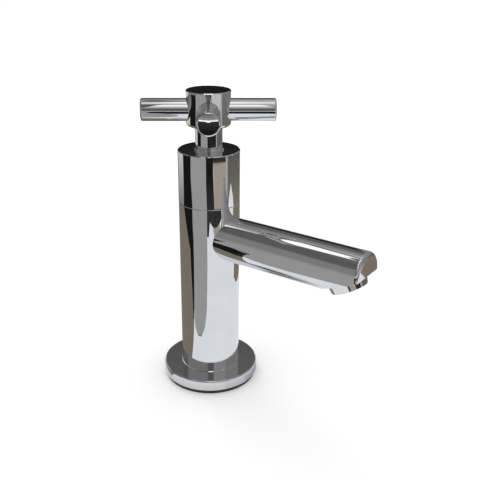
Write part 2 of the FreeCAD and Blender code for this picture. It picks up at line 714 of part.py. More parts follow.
def cut_hole_rings(body, radius):
    """Three rings of round holes, right through."""
    for name, ring_radius, count in (
        ("inner", "dim.inner_ring_radius", "6"),
        ("middle", "dim.middle_ring_radius", "12"),
        ("outer", "dim.outer_ring_radius", "18"),
    ):
        sketch = circle(body, f"{body.Name}_{name}_circle", radius, across=ring_radius)
        hole = pocket_through(body, f"{body.Name}_{name}_hole", sketch, "dim.insert_height * 3")
        repeat_round(body, f"{body.Name}_{name}_ring", hole, count)


def make_aerator():
    lip = "(-dim.outlet_length)"
    ledge = f"({lip} + dim.outlet_ledge_height)"
    bore = "(dim.insert_radius + dim.seat_gap)"
    housing = turned("aerator_housing", [
        ("dim.outlet_ledge_radius", lip),
        ("dim.outlet_lip_radius - dim.outlet_break", lip),
        ("dim.outlet_lip_radius", f"{lip} + dim.outlet_break"),
        ("dim.outlet_radius", "0"),
        ("dim.outlet_thread_radius", "0"),
        ("dim.outlet_thread_radius", "dim.outlet_thread_length"),
        (bore, "dim.outlet_thread_length"),
        (bore, ledge),
        ("dim.outlet_ledge_radius", ledge),
    ])

    insert_top = f"({ledge} + dim.insert_height)"
    insert = turned("aerator_insert", [
        ("0", ledge),
        ("dim.insert_radius", ledge),
        ("dim.insert_radius", insert_top),
        ("0", insert_top),
    ])
    cut_hole_rings(insert, "dim.insert_hole_radius")

    mesh_top = f"({insert_top} + dim.mesh_thickness)"
    mesh = turned("aerator_mesh", [
        ("0", insert_top),
        ("dim.insert_radius", insert_top),
        ("dim.insert_radius", mesh_top),
        ("0", mesh_top),
    ])
    cut_hole_rings(mesh, "dim.mesh_hole_radius")

    seal = ring("aerator_seal", "dim.aerator_seal_radius", "dim.outlet_thread_radius",
                "dim.outlet_thread_length", "dim.outlet_thread_length + dim.aerator_seal_thickness")
    for item in (housing, insert, mesh, seal):
        set_on_outlet(item)


# ---------------------------------------------------------------------------------------------
# Headwork: casing, seals and ceramic discs
# ---------------------------------------------------------------------------------------------


def sector(body, name, start_angle, sweep):
    """A closed sector between the discs' two hole radii, in the XY plane."""
    sketch = new_sketch(body, name, "XY_Plane")
    inner = value_of("dim.disc_hole_inner")
    outer = value_of("dim.disc_hole_outer")
    first = math.radians(start_angle - sweep / 2)
    last = math.radians(start_angle + sweep / 2)
    axis = Vector(0, 0, 1)
    sketch.addGeometry(Part.ArcOfCircle(Part.Circle(Vector(), axis, inner), first, last), False)
    sketch.addGeometry(Part.ArcOfCircle(Part.Circle(Vector(), axis, outer), first, last), False)
    for angle in (first, last):
        ray = Vector(math.cos(angle), math.sin(angle), 0)
        sketch.addGeometry(Part.LineSegment(ray * inner, ray * outer), False)
    # arcs 0 and 1 about the origin, lines 2 and 3 between their ends
    origin = (-1, 1)
    sketch.addConstraint(Sketcher.Constraint("Coincident", 0, 3, *origin))
    sketch.addConstraint(Sketcher.Constraint("Coincident", 1, 3, *origin))
    for line, end in ((2, 1), (3, 2)):
        sketch.addConstraint(Sketcher.Constraint("Coincident", line, 1, 0, end))
        sketch.addConstraint(Sketcher.Constraint("Coincident", line, 2, 1, end))
        sketch.addConstraint(Sketcher.Constraint("PointOnObject", -1, 1, line))
    for arc, radius in ((0, "dim.disc_hole_inner"), (1, "dim.disc_hole_outer")):
        number = sketch.addConstraint(Sketcher.Constraint("Radius", arc, value_of(radius)))
        sketch.setExpression(f"Constraints[{number}]", radius)
    for line, angle in ((2, first), (3, last)):
        sketch.addConstraint(Sketcher.Constraint("Angle", -1, 1, line, 1, angle))
    return sketch


def cut_disc_openings(body, angle):
    """Two opposite openings, centred on an angle."""
    sketch = sector(body, f"{body.Name}_sector", angle, value_of("dim.disc_hole_angle"))
    hole = pocket_through(body, f"{body.Name}_opening", sketch, f"{SPOUT_AXIS} * 2")
    repeat_round(body, f"{body.Name}_openings", hole, "2")


def make_headwork_casing():
    corner = "(dim.headwork_flats / 2 / cos(30) - dim.headwork_corner_break)"
    casing = hexagon_piece(
        "headwork_body", "dim.headwork_flats", HEX_BOTTOM, HEX_TOP, "dim.collar_radius",
        [("dim.disc_chamber_radius", CASING_BOTTOM),
         ("dim.barrel_radius", CASING_BOTTOM),
         ("dim.barrel_radius", f"{MOUTH_BOTTOM} + dim.slide_gap"),
         ("dim.thread_radius", f"{MOUTH_BOTTOM} + dim.slide_gap"),
         ("dim.thread_radius", HEX_BOTTOM),
         (corner, HEX_BOTTOM),
         (corner, HEX_TOP),
         ("dim.nose_radius", HEX_TOP),
         ("dim.nose_radius", NOSE_TOP),
         (STEM_BORE_RADIUS, NOSE_TOP),
         (STEM_BORE_RADIUS, CASING_ROOF),
         ("dim.disc_chamber_radius", CASING_ROOF)])
    window_bottom = f"({UPPER_DISC_TOP} + dim.slide_gap)"
    box(casing, "SubtractiveBox", "headwork_windows", "dim.chamber_radius * 2",
        "dim.window_width", window_bottom, f"({window_bottom} + dim.window_height)")
    box(casing, "SubtractiveBox", "headwork_key_slots", "dim.key_radius * 2 + dim.slide_gap",
        "dim.key_width + dim.slide_gap", f"({CASING_BOTTOM} - dim.slide_gap)",
        f"({LOWER_DISC_TOP} + dim.slide_gap)")


def make_headwork_seals():
    ring("headwork_gasket", "dim.thread_radius + dim.slide_gap", "dim.collar_radius",
         COLLAR_TOP, HEX_BOTTOM)
    ring("seat_seal", "dim.seal_bore_radius", "dim.disc_chamber_radius - dim.seat_gap",
         SEAT, SEAL_TOP)


def make_discs():
    radius = "(dim.disc_chamber_radius - dim.slide_gap)"
    lower = new_body("lower_disc")
    revolve(lower, "lower_disc_turned", [
        ("0", SEAL_TOP), (radius, SEAL_TOP), (radius, LOWER_DISC_TOP), ("0", LOWER_DISC_TOP)])
    box(lower, "AdditiveBox", "lower_disc_keys", "dim.key_radius * 2", "dim.key_width",
        SEAL_TOP, LOWER_DISC_TOP)
    cut_disc_openings(lower, 90)
    keep(lower)

    upper = new_body("upper_disc")
    revolve(upper, "upper_disc_turned", [
        ("0", UPPER_DISC_BOTTOM), (radius, UPPER_DISC_BOTTOM),
        (radius, UPPER_DISC_TOP), ("0", UPPER_DISC_TOP)])
    cut_disc_openings(upper, 0)
    box(upper, "SubtractiveBox", "upper_disc_slot", "dim.blade_width + dim.slide_gap * 2",
        "dim.disc_chamber_radius * 2", f"({UPPER_DISC_TOP} - dim.slot_depth)",
        f"({UPPER_DISC_TOP} + dim.slide_gap)")
    keep(upper)


# ---------------------------------------------------------------------------------------------
# Spindle and what turns with it
# ---------------------------------------------------------------------------------------------


def groove_cut(body, name, bottom_radius, outside, bottom, top):
    return revolve(body, name, [
        (bottom_radius, bottom), (outside, bottom), (outside, top), (bottom_radius, top)],
        kind="Groove")


def make_spindle():
    spindle = new_body("spindle")
    revolve(spindle, "spindle_turned", [
        ("0", BLADE_BOTTOM),
        ("dim.blade_radius", BLADE_BOTTOM),
        ("dim.blade_radius", COLLAR_BOTTOM),
        ("dim.spindle_collar_radius", COLLAR_BOTTOM),
        ("dim.spindle_collar_radius", FRICTION_BOTTOM),
        ("dim.stem_radius", FRICTION_BOTTOM),
        ("dim.stem_radius", STEM_TOP),
        ("dim.shank_radius", f"{STEM_TOP} + dim.stem_radius - dim.shank_radius"),
        ("dim.shank_radius", NECK_TOP),
        ("dim.spline_radius", NECK_TOP),
        ("dim.spline_radius", f"{SPINDLE_TOP} - dim.edge_break"),
        ("dim.spline_radius - dim.edge_break", SPINDLE_TOP),
        ("0", SPINDLE_TOP),
    ])
    # two flats turn the lower end into a blade that enters the upper disc's slot
    beyond = "dim.blade_radius * 2"
    for side, sign in (("front", "-"), ("back", "")):
        flat = polygon(spindle, f"spindle_blade_{side}_profile", [
            (f"{sign}dim.blade_width / 2", f"{BLADE_BOTTOM} - dim.slide_gap"),
            (f"{sign}{beyond}", f"{BLADE_BOTTOM} - dim.slide_gap"),
            (f"{sign}{beyond}", COLLAR_BOTTOM),
            (f"{sign}dim.blade_width / 2", COLLAR_BOTTOM),
        ])
        pocket_through(spindle, f"spindle_blade_{side}", flat, "dim.blade_radius * 3")

    outside = "dim.stem_radius + dim.slide_gap"
    for number, level in enumerate(RING_LEVELS, 1):
        groove_cut(spindle, f"spindle_ring_groove_{number}", "dim.ring_groove_radius", outside,
                   f"{level} - dim.ring_groove_width / 2", f"{level} + dim.ring_groove_width / 2")
    groove_cut(spindle, "spindle_clip_groove", "dim.clip_groove_radius", outside,
               f"{CLIP_BOTTOM} - dim.seat_gap", f"{CLIP_TOP} + dim.seat_gap")

    # spline: V grooves round the end that the bush grips
    sketch = polygon(spindle, "spindle_spline_profile", [
        ("dim.spline_radius - dim.spline_depth", "0"),
        ("dim.spline_radius + dim.spline_depth", "-dim.spline_depth"),
        ("dim.spline_radius + dim.spline_depth", "dim.spline_depth"),
    ], role="XY_Plane", level=NECK_TOP)
    groove = pocket_up(spindle, "spindle_spline_groove", sketch, "dim.spline_height * 2")
    repeat_round(spindle, "spindle_spline", groove, "dim.spline_teeth")

    # threaded hole for the handle screw
    hole_bottom = f"({WEB_TOP} - dim.screw_length - dim.web_thickness)"
    cylinder_cut(spindle, "spindle_screw_hole", "dim.screw_radius + dim.seat_gap",
                 f"{HUB_TOP} - {hole_bottom}", z=hole_bottom)
    keep(spindle)


def make_spindle_rings():
    rings = []
    for number, level in enumerate(RING_LEVELS, 1):
        item = doc.addObject("Part::Torus", f"spindle_o_ring_{number}")
        item.setExpression("Radius1", "dim.ring_groove_radius + dim.ring_thickness / 2")
        item.setExpression("Radius2", "dim.ring_thickness / 2")
        place(item, z=level)
        rings.append(item)
    group("spindle_o_rings", rings)

    ring("friction_washer", "dim.stem_radius + dim.seat_gap", "dim.spindle_collar_radius",
         FRICTION_BOTTOM, FRICTION_TOP)

    clip = new_body("spindle_circlip")
    inner = "dim.clip_groove_radius + dim.seat_gap"
    revolve(clip, "spindle_circlip_turned", [
        (inner, CLIP_BOTTOM), ("dim.clip_radius", CLIP_BOTTOM),
        ("dim.clip_radius", CLIP_TOP), (inner, CLIP_TOP)])
    box(clip, "SubtractiveBox", "spindle_circlip_opening", "dim.clip_radius * 2",
        "dim.clip_opening", f"({CLIP_BOTTOM} - dim.slide_gap)", f"({CLIP_TOP} + dim.slide_gap)",
        start="dim.edge_break")
    keep(clip)


# ---------------------------------------------------------------------------------------------
# Cross handle
# ---------------------------------------------------------------------------------------------


def make_neck():
    ring("neck_sleeve", "dim.neck_bore_radius", "dim.neck_radius",
         f"{SLEEVE_TOP} - dim.neck_insertion", NECK_TOP)
    ring("spline_bush", "dim.spline_radius + dim.seat_gap", "dim.bush_radius", NECK_TOP, BUSH_TOP)


def make_hub():
    hub = new_body("hub")
    bush_bore = "(dim.bush_radius + dim.seat_gap)"
    web_bottom = f"({BUSH_TOP} + dim.seat_gap)"
    screw_hole = "(dim.screw_radius + dim.slide_gap)"
    cap_seat = "(dim.cap_radius + dim.seat_gap)"
    revolve(hub, "hub_turned", [
        ("dim.neck_radius", HUB_BOTTOM),
        ("dim.hub_radius", HUB_BOTTOM),
        ("dim.hub_radius", f"{HUB_TOP} - dim.rim_break"),
        ("dim.hub_radius - dim.rim_break", HUB_TOP),
        (cap_seat, HUB_TOP),
        (cap_seat, CAP_BOTTOM),
        ("dim.pocket_radius", CAP_BOTTOM),
        ("dim.pocket_radius", WEB_TOP),
        (screw_hole, WEB_TOP),
        (screw_hole, web_bottom),
        (bush_bore, web_bottom),
        (bush_bore, NECK_TOP),
        ("dim.neck_radius", NECK_TOP),
    ])
    round_edge(hub, "hub_foot", "dim.hub_rounding", "dim.hub_radius", HUB_BOTTOM)
    # seats for the arms and, deeper, holes for their studs
    for cut_name, radius, start in (
        ("arm_seat", "dim.arm_radius + dim.seat_gap", "dim.arm_seat"),
        ("stud_hole", "dim.stud_radius + dim.seat_gap", "dim.bush_radius"),
    ):
        cut = cylinder_cut(hub, f"hub_{cut_name}", radius, "dim.hub_radius", x=start, z=ARM_AXIS,
                           axis=Vector(0, 1, 0), angle="90")
        repeat_round(hub, f"hub_{cut_name}s", cut, "dim.arm_count")
    turn(hub, Vector(0, 0, 1), "dim.handle_angle + 360")
    keep(hub)


def set_on_arm(item, number):
    """Moves a piece drawn along X to one of the arms."""
    turn(item, Vector(0, 0, 1), f"dim.handle_angle + 360 + {number} * 360 / dim.arm_count")
    place(item, z=ARM_AXIS)


def make_arms():
    for number in range(int(value_of("dim.arm_count"))):
        arm = new_body(f"arm_{number + 1}")
        hole = "(dim.stud_radius + dim.seat_gap)"
        hole_end = "(dim.stud_start + dim.stud_length + dim.slide_gap)"
        rim = domed_edge("dim.arm_reach", "dim.arm_dome", "dim.arm_facing", "dim.arm_radius")
        revolve(arm, f"arm_{number + 1}_turned", [
            ("dim.arm_seat", hole),
            (hole_end, hole),
            (hole_end, "0"),
            ("dim.arm_reach", "0"),
            ("dim.arm_reach", "dim.arm_facing"),
            (rim, "dim.arm_radius"),
            ("dim.arm_seat", "dim.arm_radius"),
        ], axis="H_Axis", domes={4: "dim.arm_dome"})
        round_edge(arm, f"arm_{number + 1}_end", "dim.arm_rounding", "dim.arm_radius", rim, "x")
        set_on_arm(arm, number)
        keep(arm)


def make_studs():
    studs = []
    for number in range(int(value_of("dim.arm_count"))):
        stud = new_body(f"arm_stud_{number + 1}")
        start = "dim.stud_start"
        end = "(dim.stud_start + dim.stud_length)"
        revolve(stud, f"arm_stud_{number + 1}_turned", [
            (start, "0"),
            (end, "0"),
            (end, "dim.stud_radius - dim.edge_break"),
            (f"{end} - dim.edge_break", "dim.stud_radius"),
            (f"{start} + dim.edge_break", "dim.stud_radius"),
            (start, "dim.stud_radius - dim.edge_break"),
        ], axis="H_Axis")
        set_on_arm(stud, number)
        studs.append(stud)
    group("arm_studs", studs)


def make_screw_and_cap():
    screw = new_body("handle_screw")
    head_top = f"({WEB_TOP} + dim.screw_head_height)"
    revolve(screw, "handle_screw_turned", [
        ("0", f"{WEB_TOP} - dim.screw_length"),
        ("dim.screw_radius - dim.edge_break", f"{WEB_TOP} - dim.screw_length"),
        ("dim.screw_radius", f"{WEB_TOP} - dim.screw_length + dim.edge_break"),
        ("dim.screw_radius", WEB_TOP),
        ("dim.screw_head_radius", WEB_TOP),
        ("dim.screw_head_radius", f"{head_top} - dim.edge_break"),
        ("dim.screw_head_radius - dim.edge_break", head_top),
        ("0", head_top),
    ])
    recess_bottom = f"({head_top} - dim.screw_slot_depth)"
    recess_top = f"({head_top} + dim.slide_gap)"
    box(screw, "SubtractiveBox", "handle_screw_slot_across", "dim.screw_slot_length",
        "dim.screw_slot_width", recess_bottom, recess_top)
    box(screw, "SubtractiveBox", "handle_screw_slot_along", "dim.screw_slot_width",
        "dim.screw_slot_length", recess_bottom, recess_top)
    keep(screw)

    turned("top_cap", [
        ("0", CAP_BOTTOM),
        ("dim.cap_radius", CAP_BOTTOM),
        ("dim.cap_radius", HUB_TOP),
        ("0", HUB_TOP),
    ])


# ---------------------------------------------------------------------------------------------
# Build, check and write
# ---------------------------------------------------------------------------------------------


def check_document():
    doc.recompute()
    for item in doc.Objects:
        faults = {"Invalid", "Error"} & set(item.State)
        if faults:
            raise RuntimeError(f"{item.Name} is {item.State}")
    for item in sub_parts:
        if item.Shape.isNull() or not item.Shape.isValid():
            raise RuntimeError(f"{item.Label} has no valid shape")


def write_parts():
    os.makedirs("parts", exist_ok=True)
    for item in sub_parts:
        item.Shape.exportStep(f"parts/{item.Label}.step")
        print(f"{item.Label}: {len(item.Shape.Solids)} solid, {item.Shape.Volume:.1f} mm3")


make_base()
make_tail()
make_fixings()
make_body()
make_sleeve()
make_spout()
make_aerator()
make_headwork_casing()
make_headwork_seals()
make_discs()
make_spindle()
make_spindle_rings()
make_neck()
make_hub()
make_arms()
make_studs()
make_screw_and_cap()
check_document()
write_parts()
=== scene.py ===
"""Looks of the cross handle tap: finishes, studio and camera, in metres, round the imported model.

The model stands on the floor at z = 0 with its spout along +X. Directions in the studio are given as
bearings in degrees from the line between the tap and the camera, with the camera's right positive.
"""

import json
import math

import bpy
from mathutils import Matrix, Vector

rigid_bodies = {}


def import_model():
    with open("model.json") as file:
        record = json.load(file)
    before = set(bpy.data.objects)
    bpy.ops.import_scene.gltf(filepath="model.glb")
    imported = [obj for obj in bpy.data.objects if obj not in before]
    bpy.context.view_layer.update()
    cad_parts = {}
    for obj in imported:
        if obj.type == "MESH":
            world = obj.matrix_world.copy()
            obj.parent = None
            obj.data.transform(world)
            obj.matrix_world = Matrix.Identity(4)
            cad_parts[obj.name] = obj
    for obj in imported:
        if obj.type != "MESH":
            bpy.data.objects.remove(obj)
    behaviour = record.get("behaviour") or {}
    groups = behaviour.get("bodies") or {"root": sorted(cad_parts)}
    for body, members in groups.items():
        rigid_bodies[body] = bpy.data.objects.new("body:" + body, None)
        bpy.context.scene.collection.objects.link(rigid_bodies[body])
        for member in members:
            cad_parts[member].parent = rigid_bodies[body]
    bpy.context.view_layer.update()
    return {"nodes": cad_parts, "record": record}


for old in list(bpy.data.objects):
    bpy.data.objects.remove(old)

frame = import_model()
nodes = frame["nodes"]
slot_of = {row["node"]: row["material_slot"] for row in frame["record"]["subparts"]}

# ---------------------------------------------------------------------------------------------
# Camera
# ---------------------------------------------------------------------------------------------

CAMERA_AZIMUTH = math.radians(-52.5)  # from the tap's axis to the camera, against the spout
CAMERA_DISTANCE = 0.35266
CAMERA_HEIGHT = 0.22556
CAMERA_YAW = math.radians(2.642)  # to the right of the tap's axis
CAMERA_PITCH = math.radians(22.373)  # down
CAMERA_ROLL = math.radians(0.498)
LENS_MM = 53.26
SENSOR_MM = 36.0
CLIP_NEAR = 0.01
CLIP_FAR = 100.0


def make_camera():
    """Camera at the photograph's viewpoint, looking past the tap's axis by the yaw."""
    data = bpy.data.cameras.new("camera")
    data.sensor_width = SENSOR_MM
    data.lens = LENS_MM
    data.clip_start = CLIP_NEAR
    data.clip_end = CLIP_FAR
    camera = bpy.data.objects.new("camera", data)
    bpy.context.scene.collection.objects.link(camera)
    away = Vector((math.cos(CAMERA_AZIMUTH), math.sin(CAMERA_AZIMUTH), 0))
    up = Vector((0, 0, 1))
    forward = Matrix.Rotation(-CAMERA_YAW, 3, up) @ -away
    right = forward.cross(up)
    look = forward * math.cos(CAMERA_PITCH) - up * math.sin(CAMERA_PITCH)
    top = right.cross(look)
    tilted_right = right * math.cos(CAMERA_ROLL) + top * math.sin(CAMERA_ROLL)
    tilted_top = tilted_right.cross(look)
    turn = Matrix((tilted_right, tilted_top, -look)).transposed()
    camera.matrix_world = Matrix.Translation(away * CAMERA_DISTANCE + up * CAMERA_HEIGHT) @ turn.to_4x4()
    bpy.context.scene.camera = camera


make_camera()

# ---------------------------------------------------------------------------------------------
# Node helpers
# ---------------------------------------------------------------------------------------------


class Nodes:
    """A short way to write a node tree."""

    def __init__(self, tree):
        self.tree = tree
        tree.nodes.clear()

    def add(self, kind, inputs=None, **settings):
        node = self.tree.nodes.new(kind)
        for key, value in settings.items():
            setattr(node, key, value)
        for key, value in (inputs or {}).items():
            self.put(node.inputs[key], value)
        return node

    def put(self, socket, value):
        """Links the socket to another one, or sets its own value."""
        if isinstance(value, bpy.types.NodeSocket):
            self.tree.links.new(value, socket)
        else:
            socket.default_value = value

    def math(self, operation, *values):
        node = self.add("ShaderNodeMath", operation=operation)
        for socket, value in zip(node.inputs, values):
            self.put(socket, value)
        return node.outputs[0]

    def ramp(self, value, low, high, out_low=0.0, out_high=1.0):
        node = self.add("ShaderNodeMapRange", {
            "Value": value, "From Min": low, "From Max": high, "To Min": out_low, "To Max": out_high})
        return node.outputs["Result"]

    def noise(self, place, feature, detail=2.0, roughness=0.5):
        """Noise between 0 and 1 whose features are as large as feature, in metres."""
        node = self.add("ShaderNodeTexNoise", {
            "Vector": place, "Scale": 1 / feature, "Detail": detail, "Roughness": roughness})
        return node.outputs["Fac"]

    def stretched(self, place, x, y, z):
        """The place scaled per axis: under 1 draws a noise out along the axis, over 1 packs it."""
        node = self.add("ShaderNodeMapping", {"Vector": place, "Scale": (x, y, z)})
        return node.outputs["Vector"]

    def blend(self, share, first, second):
        node = self.add("ShaderNodeMix", data_type="RGBA")
        self.put(node.inputs["Factor"], share)
        self.put(node.inputs["A"], first)
        self.put(node.inputs["B"], second)
        return node.outputs["Result"]

    def bump(self, height, depth, below=None):
        """Relief whose full height is depth, in metres."""
        node = self.add("ShaderNodeBump", {"Height": height, "Distance": depth, "Strength": 1.0})
        if below is not None:
            self.put(node.inputs["Normal"], below)
        return node.outputs["Normal"]


def opaque(colour):
    return (*colour, 1.0)


def start_material(name):
    material = bpy.data.materials.new(name)
    material.use_nodes = True
    n = Nodes(material.node_tree)
    place = n.add("ShaderNodeTexCoord").outputs["Object"]
    return material, n, place


def end_material(n, shader):
    n.add("ShaderNodeOutputMaterial", {"Surface": shader.outputs[0]})


# ---------------------------------------------------------------------------------------------
# Materials
# ---------------------------------------------------------------------------------------------

CHROME_CLEAN = (0.80, 0.80, 0.81)
CHROME_HAZED = (0.74, 0.745, 0.755)
BRASS_BRIGHT = (0.76, 0.61, 0.31)
BRASS_DULL = (0.53, 0.39, 0.18)
STEEL_CLEAN = (0.66, 0.66, 0.67)
STEEL_STAINED = (0.55, 0.55, 0.56)
RUBBER_BLACK = (0.02, 0.02, 0.021)
RUBBER_DUSTY = (0.06, 0.058, 0.055)
FIBRE_RED = (0.47, 0.12, 0.08)
FIBRE_DARK = (0.33, 0.07, 0.05)
FIBRE_FLECK = (0.58, 0.26, 0.19)
FIBRE_ROUGHNESS = 0.85
CERAMIC_WHITE = (0.91, 0.90, 0.86)
CERAMIC_CLOUD = (0.84, 0.83, 0.79)
PLASTIC_WHITE = (0.87, 0.87, 0.85)
PLASTIC_FLOW = (0.80, 0.80, 0.77)
PLASTIC_GLOW = 0.08  # share of the light that spreads inside it
PLASTIC_SPREAD = 0.001  # how far that light goes

# roughness of the plating where it is clean and where it is hazed
POLISHED = (0.018, 0.05)
LESS_POLISHED = (0.10, 0.17)


def chrome(name, polish):
    """Plating: faint waves of the polishing, hair scratches and dried water haze."""
    material, n, place = start_material(name)
    haze = n.noise(place, feature=0.011, detail=4.0, roughness=0.6)
    packed = n.stretched(place, x=1.0, y=1.0, z=14.0)
    hairs = n.noise(packed, feature=0.0022, detail=3.0, roughness=0.7)
    smooth = n.ramp(haze, 0.45, 0.75, *polish)
    scratched = n.ramp(hairs, 0.62, 0.85, out_low=0.0, out_high=0.03)
    rough = n.math("ADD", smooth, scratched)
    colour = n.blend(n.ramp(haze, 0.3, 0.8), opaque(CHROME_CLEAN), opaque(CHROME_HAZED))
    waves = n.bump(n.noise(place, feature=0.009, detail=1.0), depth=6e-6)
    relief = n.bump(n.noise(place, feature=0.0009, detail=2.0), depth=1.5e-7, below=waves)
    end_material(n, n.add("ShaderNodeBsdfPrincipled", {
        "Base Color": colour, "Metallic": 1.0, "Roughness": rough, "Normal": relief}))
    return material


def brass():
    """Turned bare brass: rings from the tool, and patches where it has dulled."""
    material, n, place = start_material("tap_brass")
    patches = n.noise(place, feature=0.006, detail=5.0, roughness=0.65)
    rings = n.noise(n.stretched(place, x=0.04, y=0.04, z=1.0), feature=0.00035, detail=2.0)
    colour = n.blend(n.ramp(patches, 0.35, 0.7), opaque(BRASS_BRIGHT), opaque(BRASS_DULL))
    dulled = n.ramp(patches, 0.3, 0.8, out_low=0.2, out_high=0.42)
    turned = n.ramp(rings, 0.3, 0.7, out_low=-0.04, out_high=0.04)
    rough = n.math("ADD", dulled, turned)
    relief = n.bump(rings, depth=1.2e-6)
    end_material(n, n.add("ShaderNodeBsdfPrincipled", {
        "Base Color": colour, "Metallic": 1.0, "Roughness": rough, "Normal": relief}))
    return material


def steel():
    """Stainless sheet and wire: short brushed lines."""
    material, n, place = start_material("tap_steel")
    lines = n.noise(n.stretched(place, x=0.05, y=1.0, z=1.0), feature=0.00045, detail=3.0)
    stains = n.noise(place, feature=0.007, detail=3.0)
    colour = n.blend(stains, opaque(STEEL_CLEAN), opaque(STEEL_STAINED))
    rough = n.ramp(lines, 0.3, 0.7, out_low=0.24, out_high=0.4)
    relief = n.bump(lines, depth=8e-7)
    end_material(n, n.add("ShaderNodeBsdfPrincipled", {
        "Base Color": colour, "Metallic": 1.0, "Roughness": rough, "Normal": relief}))
    return material


def rubber():
    """Black moulded rubber: fine mould texture, a grey bloom and dust in patches."""
    material, n, place = start_material("tap_rubber")
    bloom = n.noise(place, feature=0.005, detail=5.0, roughness=0.7)
    grain = n.noise(place, feature=0.0004, detail=2.0)
    colour = n.blend(n.ramp(bloom, 0.45, 0.8), opaque(RUBBER_BLACK), opaque(RUBBER_DUSTY))
    rough = n.ramp(bloom, 0.3, 0.8, out_low=0.5, out_high=0.75)
    relief = n.bump(grain, depth=2e-5)
    end_material(n, n.add("ShaderNodeBsdfPrincipled", {
        "Base Color": colour, "Roughness": rough, "Normal": relief}))
    return material


def fibre():
    """Pressed red fibre: matted strands with light flecks."""
    material, n, place = start_material("tap_fibre")
    strands = n.noise(n.stretched(place, x=1.0, y=4.0, z=1.0), feature=0.0016, detail=4.0)
    flecks = n.noise(place, feature=0.0005, detail=3.0)
    matted = n.blend(n.ramp(strands, 0.35, 0.7), opaque(FIBRE_RED), opaque(FIBRE_DARK))
    colour = n.blend(n.ramp(flecks, 0.62, 0.75), matted, opaque(FIBRE_FLECK))
    relief = n.bump(strands, depth=3e-5)
    end_material(n, n.add("ShaderNodeBsdfPrincipled", {
        "Base Color": colour, "Roughness": FIBRE_ROUGHNESS, "Normal": relief}))
    return material


def ceramic():
    """Lapped alumina: off-white, close to even, with faint grey clouds."""
    material, n, place = start_material("tap_ceramic")
    clouds = n.noise(place, feature=0.004, detail=4.0)
    colour = n.blend(clouds, opaque(CERAMIC_WHITE), opaque(CERAMIC_CLOUD))
    rough = n.ramp(clouds, 0.3, 0.7, out_low=0.1, out_high=0.22)
    relief = n.bump(n.noise(place, feature=0.0006), depth=1e-6)
    end_material(n, n.add("ShaderNodeBsdfPrincipled", {
        "Base Color": colour, "Roughness": rough, "Normal": relief}))
    return material


def white_plastic():
    """Moulded acetal: slightly waxy, with flow marks."""
    material, n, place = start_material("tap_white_plastic")
    flow = n.noise(n.stretched(place, x=1.0, y=2.5, z=1.0), feature=0.004, detail=3.0)
    colour = n.blend(flow, opaque(PLASTIC_WHITE), opaque(PLASTIC_FLOW))
    rough = n.ramp(flow, 0.3, 0.7, out_low=0.32, out_high=0.5)
    relief = n.bump(n.noise(place, feature=0.0005), depth=6e-6)
    end_material(n, n.add("ShaderNodeBsdfPrincipled", {
        "Base Color": colour, "Roughness": rough, "Normal": relief,
        "Subsurface Weight": PLASTIC_GLOW, "Subsurface Scale": PLASTIC_SPREAD}))
    return material


FINISHES = {
    "chrome": chrome("tap_chrome", POLISHED),
    "brass": brass(),
    "steel": steel(),
    "black_rubber": rubber(),
    "fibre": fibre(),
    "ceramic": ceramic(),
    "white_plastic": white_plastic(),
}

# the flange was polished less finely than the rest
ODD_FINISHES = {"base_flange": chrome("tap_flange_chrome", LESS_POLISHED)}

for name, piece in nodes.items():
    for slot in piece.material_slots:
        slot.material = ODD_FINISHES.get(name, FINISHES[slot_of[name]])

# ---------------------------------------------------------------------------------------------
# Studio
# ---------------------------------------------------------------------------------------------

WHITE = (1.0, 1.0, 1.0)
FLOOR_GREY = (0.82, 0.82, 0.82)  # what the floor gives back to matt surfaces
FLOOR_HALF = 12.0
FLOOR_DROP = 0.0001  # how far it lies under the gasket, so that the two faces don't share a plane
FLOOR_LIFT = 0.08  # what the seen floor shows more than its light gives
WORLD_LIGHT = 0.95


def bearing_point(bearing, radius, height):
    """A point of the studio, from the tap's axis."""
    angle = CAMERA_AZIMUTH + math.radians(bearing)
    return (radius * math.cos(angle), radius * math.sin(angle), height)


def mesh_object(name, points, faces, material):
    mesh = bpy.data.meshes.new(name)
    mesh.from_pydata(points, [], faces)
    mesh.materials.append(material)
    item = bpy.data.objects.new(name, mesh)
    bpy.context.scene.collection.objects.link(item)
    return item


def seen_or_mirrored(n):
    """1 for what the camera sees straight, in metal or through glass."""
    path = n.add("ShaderNodeLightPath")
    straight = n.math("MAXIMUM", path.outputs["Is Camera Ray"], path.outputs["Is Glossy Ray"])
    return n.math("MAXIMUM", straight, path.outputs["Is Transmission Ray"])


def mix_by(n, share, first, second):
    mix = n.add("ShaderNodeMixShader")
    for socket, value in zip(mix.inputs, (share, first.outputs[0], second.outputs[0])):
        n.put(socket, value)
    return mix


def make_world():
    world = bpy.data.worlds.new("studio")
    world.use_nodes = True
    bpy.context.scene.world = world
    n = Nodes(world.node_tree)
    light = n.add("ShaderNodeBackground", {"Color": opaque(WHITE), "Strength": WORLD_LIGHT})
    shown = n.add("ShaderNodeBackground", {"Color": opaque(WHITE), "Strength": 1.0})
    mix = mix_by(n, seen_or_mirrored(n), light, shown)
    n.add("ShaderNodeOutputWorld", {"Surface": mix.outputs[0]})


